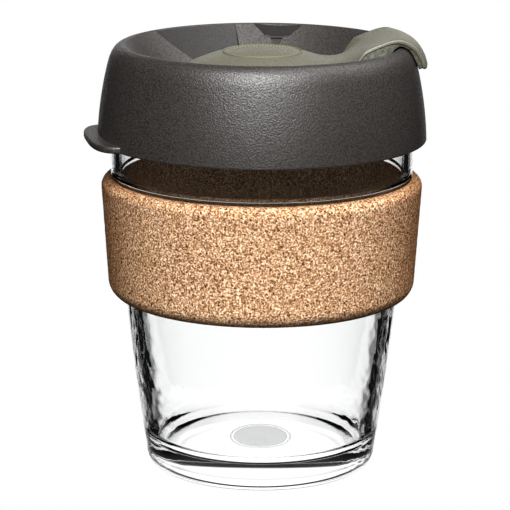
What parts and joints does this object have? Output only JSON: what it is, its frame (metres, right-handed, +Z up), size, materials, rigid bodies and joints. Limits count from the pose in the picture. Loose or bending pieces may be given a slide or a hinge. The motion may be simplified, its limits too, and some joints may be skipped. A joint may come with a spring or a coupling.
{
  "type": "travel cup",
  "caption": "Glass travel cup with a cork grip band, a press-on lid with a sip opening, and a turning plug whose arm hooks over the rim.",
  "frame": {"origin": "centre of the glass's flat foot, where the cup's axis meets the table", "axes": "+Z up along the cup's axis; at rest the plug's arm points near +X, the sip opening near +Y and the lid's pull tab near -X"},
  "size_m": [0.0938, 0.09, 0.1205],
  "materials": {
    "clear_glass": "clear, polished",
    "cork": "pressed granulated cork, raw",
    "lid_plastic": "charcoal, fine moulded texture",
    "plug_plastic": "olive grey, satin"
  },
  "bodies": {
    "cup": {"glass_cup": "clear_glass"},
    "band": {"cork_band": "cork"},
    "lid": {"lid": "lid_plastic"},
    "plug": {"plug": "plug_plastic"}
  },
  "joints": [
    {"name": "lid_lift", "type": "slide", "parent": "cup", "child": "lid", "axis": [0, 0, 1], "range_m": [0, 0.045]},
    {"name": "plug_turn", "type": "hinge", "parent": "lid", "child": "plug", "pos_m": [0, 0, 0.109], "axis": [0, 0, 1], "continuous": true},
    {"name": "band_slide", "type": "slide", "parent": "cup", "child": "band", "axis": [0, 0, -1], "range_m": [0, 0.047]}
  ]
}
